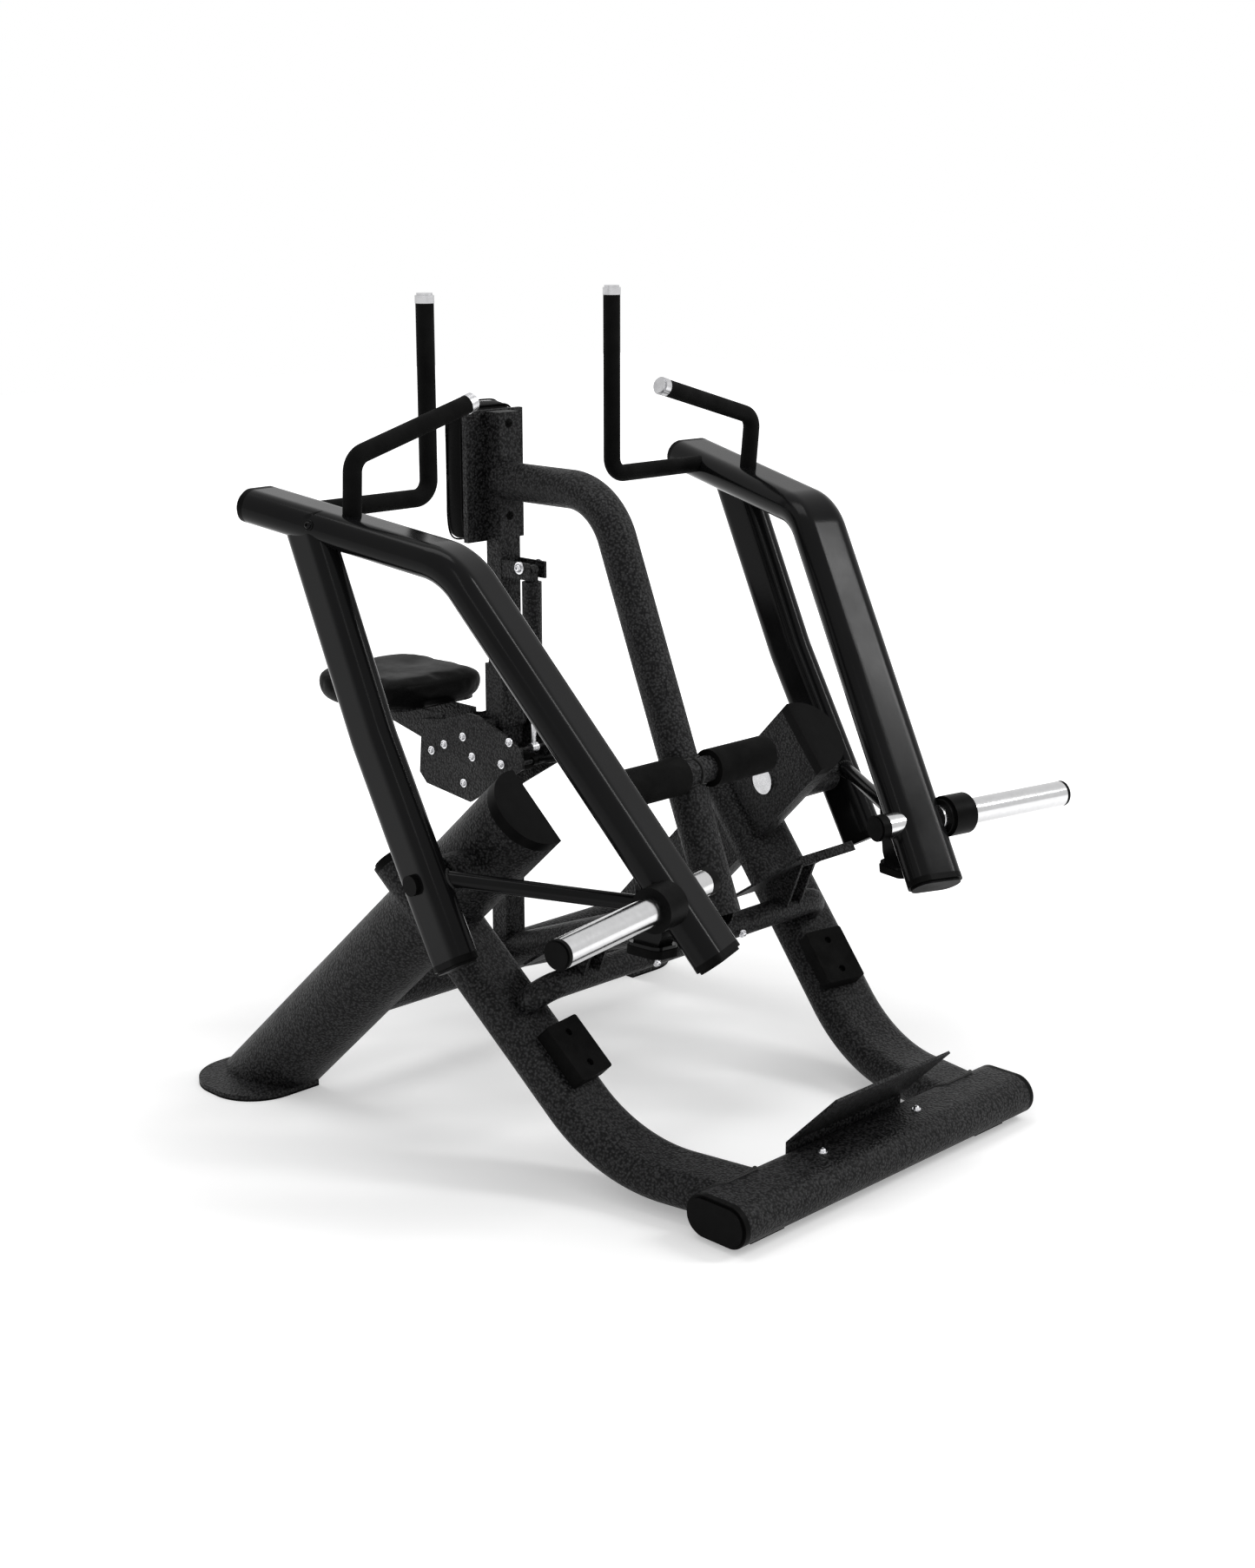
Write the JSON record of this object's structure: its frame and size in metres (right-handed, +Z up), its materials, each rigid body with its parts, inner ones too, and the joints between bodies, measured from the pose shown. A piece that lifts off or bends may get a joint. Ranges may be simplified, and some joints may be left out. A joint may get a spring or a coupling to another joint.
{
  "type": "plate loaded rowing machine",
  "caption": "Plate loaded seated rowing machine with two independent swinging arms, weight horns, a chest pad, knee rollers, foot plates and a seat that slides on a post.",
  "frame": {"origin": "centre of the footprint on the floor: the middle of the bounding box across and front to back, at the underside of the feet", "axes": "+X across the machine, +Y from the foot end towards the seat, +Z up"},
  "size_m": [1.3436, 1.4581, 1.4898],
  "materials": {
    "frame_coat": "satin wrinkle powder coat",
    "arm_coat": "smooth gloss",
    "cap_plastic": "fine moulded grain",
    "rubber": "matte",
    "vinyl": "coated upholstery vinyl, satin",
    "bright_steel": "zinc plated",
    "chrome": "polished",
    "bright_alu": "machined"
  },
  "bodies": {
    "frame": {"base_bar": "frame_coat", "base_caps": "cap_plastic", "rubber_feet": "rubber", "front_leg_left": "frame_coat", "front_leg_right": "frame_coat", "front_leg_caps": "cap_plastic", "rear_leg_left": "frame_coat", "rear_leg_right": "frame_coat", "rear_leg_caps": "cap_plastic", "rear_foot_plates": "frame_coat", "foot_bar": "frame_coat", "foot_plates": "frame_coat", "toe_guard": "frame_coat", "frame_bolts": "bright_steel", "bumper_blocks": "rubber", "rear_cross_tube": "frame_coat", "spine_tube": "frame_coat", "mast_tube": "frame_coat", "seat_post": "frame_coat", "post_fittings": "frame_coat", "chest_pad": "vinyl", "roller_bar": "frame_coat", "badge_discs": "bright_alu", "pivot_housings": "frame_coat", "gas_spring_body": "frame_coat"},
    "arm_left": {"front_tube_left": "arm_coat", "tube_caps_left": "cap_plastic", "rear_tube_left": "arm_coat", "brace_left": "arm_coat", "pivot_pin_left": "cap_plastic", "horn_left": "chrome", "horn_collar_left": "cap_plastic", "horn_caps_left": "cap_plastic", "stop_bracket_left": "arm_coat", "stop_pad_left": "rubber", "grip_bars_left": "arm_coat", "grip_sleeves_left": "rubber", "grip_ends_left": "bright_alu"},
    "arm_right": {"front_tube_right": "arm_coat", "tube_caps_right": "cap_plastic", "rear_tube_right": "arm_coat", "brace_right": "arm_coat", "pivot_pin_right": "cap_plastic", "horn_right": "chrome", "horn_collar_right": "cap_plastic", "horn_caps_right": "cap_plastic", "stop_bracket_right": "arm_coat", "stop_pad_right": "rubber", "grip_bars_right": "arm_coat", "grip_sleeves_right": "rubber", "grip_ends_right": "bright_alu"},
    "seat": {"seat_carriage": "frame_coat", "carriage_bolts": "bright_steel", "seat_pad": "vinyl", "gas_spring_rod": "bright_steel"},
    "front_wheel": {"front_wheel": "rubber"},
    "rear_wheel": {"rear_wheel": "rubber"},
    "lever": {"seat_lever": "cap_plastic"},
    "roller_left": {"roller_left": "rubber"},
    "roller_right": {"roller_right": "rubber"}
  },
  "joints": [
    {"name": "arm_left_swing", "type": "hinge", "parent": "frame", "child": "arm_left", "pos_m": [-0.54, -0.1255, 0.537], "axis": [1, 0, 0], "range_deg": [-20, 45]},
    {"name": "arm_right_swing", "type": "hinge", "parent": "frame", "child": "arm_right", "pos_m": [0.54, -0.1255, 0.537], "axis": [1, 0, 0], "range_deg": [-20, 45]},
    {"name": "seat_height", "type": "slide", "parent": "frame", "child": "seat", "axis": [0, 0, 1], "range_m": [-0.075, 0.095]},
    {"name": "front_wheel_roll", "type": "hinge", "parent": "seat", "child": "front_wheel", "pos_m": [0, 0.2242, 0.59], "axis": [1, 0, 0], "range_deg": [-300, 300]},
    {"name": "rear_wheel_roll", "type": "hinge", "parent": "seat", "child": "rear_wheel", "pos_m": [0, 0.3088, 0.59], "axis": [1, 0, 0], "range_deg": [-300, 300]},
    {"name": "lever_lift", "type": "hinge", "parent": "seat", "child": "lever", "pos_m": [0, 0.1775, 0.598], "axis": [-1, 0, 0], "range_deg": [0, 20], "stiffness_Nm_per_rad": 0.6, "springref_deg": -8.59},
    {"name": "roller_left_spin", "type": "hinge", "parent": "frame", "child": "roller_left", "pos_m": [-0.11, -0.2375, 0.65], "axis": [1, 0, 0], "continuous": true},
    {"name": "roller_right_spin", "type": "hinge", "parent": "frame", "child": "roller_right", "pos_m": [0.11, -0.2375, 0.65], "axis": [1, 0, 0], "continuous": true}
  ],
  "couplings": [
    {"joint": "front_wheel_roll", "follows": "seat_height", "rad_per_m": -45.455},
    {"joint": "rear_wheel_roll", "follows": "seat_height", "rad_per_m": 45.455}
  ]
}
